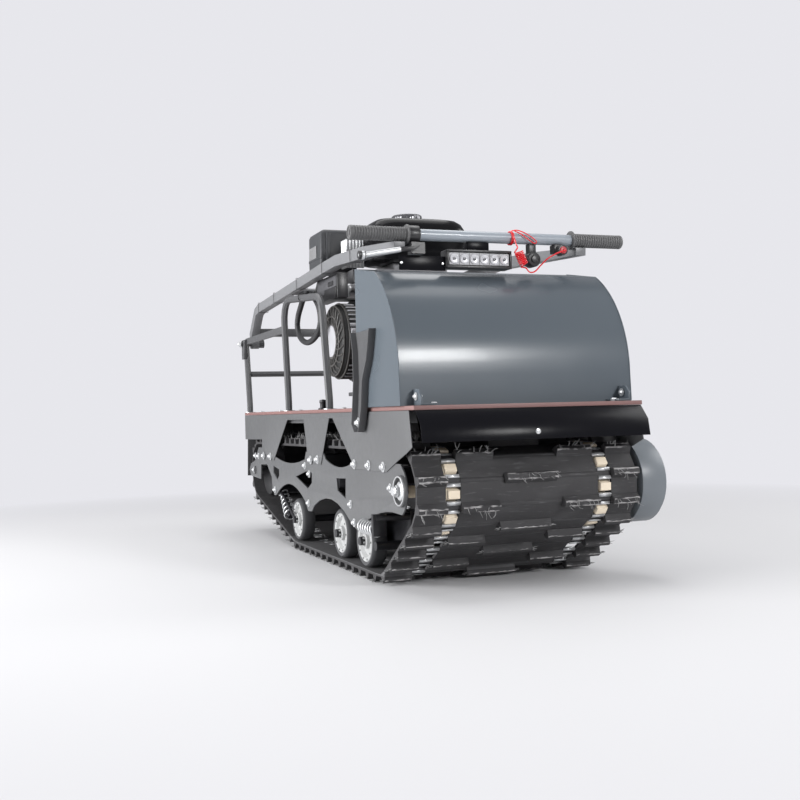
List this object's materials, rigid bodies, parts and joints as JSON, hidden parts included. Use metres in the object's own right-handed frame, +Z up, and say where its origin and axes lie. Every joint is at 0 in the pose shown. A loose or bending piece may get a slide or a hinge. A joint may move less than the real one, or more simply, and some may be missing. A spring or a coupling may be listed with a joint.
{
  "type": "walk-behind tracked snow tug",
  "caption": "Walk-behind tracked snow tug: wide rubber track under a plywood deck, open engine, round-fronted hood and a handlebar folded forward.",
  "frame": {"origin": "on the ground, midway along and across the machine", "axes": "+X forward to the hood end, +Y to the machine's left, +Z up"},
  "size_m": [1.57, 0.65, 0.8863],
  "materials": {
    "arm_paint": "satin powder-coated tube",
    "black_paint": "gloss black sheet steel",
    "black_plastic": "moulded black plastic",
    "cage_paint": "satin powder-coated tube",
    "cast_aluminium": "cast aluminium, darkened",
    "cream_plastic": "moulded cream plastic",
    "faced_plywood": "film-faced plywood with bare red-brown edges",
    "grey_plate": "satin powder-coated steel plate",
    "hood_paint": "gloss painted sheet steel",
    "red_cord": "coiled plastic cord",
    "rubber": "matt moulded rubber",
    "zinc_steel": "bright zinc-plated steel"
  },
  "bodies": {
    "chassis": {"track": "rubber", "drive_axle": "cream_plastic", "idler_axle": "rubber", "roller_pair_1": "rubber", "roller_pair_2": "rubber", "roller_pair_3": "rubber", "roller_pair_4": "rubber", "suspension_rear": "grey_plate", "suspension_front": "grey_plate", "snow_flap": "rubber", "muffler": "zinc_steel", "control_box": "black_plastic", "wiring_loom": "rubber", "side_plate_left": "grey_plate", "side_plate_right": "grey_plate", "skirt_left": "grey_plate", "skirt_right": "grey_plate", "front_apron": "black_paint", "deck": "faced_plywood", "deck_rear": "faced_plywood", "deck_frame": "cage_paint", "hood": "hood_paint", "hood_hinge_left": "grey_plate", "hood_hinge_right": "grey_plate", "side_guard_left": "cage_paint", "side_guard_right": "cage_paint", "cross_rail_rear": "cage_paint", "side_post_left": "grey_plate", "side_post_right": "grey_plate", "engine_base": "cage_paint", "engine_block": "cast_aluminium", "fan_housing": "black_paint", "recoil_starter": "black_plastic", "fuel_tank": "black_plastic", "tank_cap": "black_plastic", "air_box": "black_plastic", "end_cover": "grey_plate", "tow_hitch": "grey_plate"},
    "handlebar": {"handlebar_frame": "arm_paint", "crossbar": "hood_paint", "grip_left": "rubber", "grip_right": "rubber", "lamp_stay": "black_paint", "lamp_bar": "black_paint", "throttle_clamp": "black_plastic", "brake_lever": "zinc_steel", "kill_switch": "black_plastic", "lanyard": "red_cord"}
  },
  "joints": [
    {"name": "handlebar_fold", "type": "hinge", "parent": "chassis", "child": "handlebar", "pos_m": [-0.768, 0, 0.605], "axis": [0, -1, 0], "range_deg": [0, 150]}
  ]
}
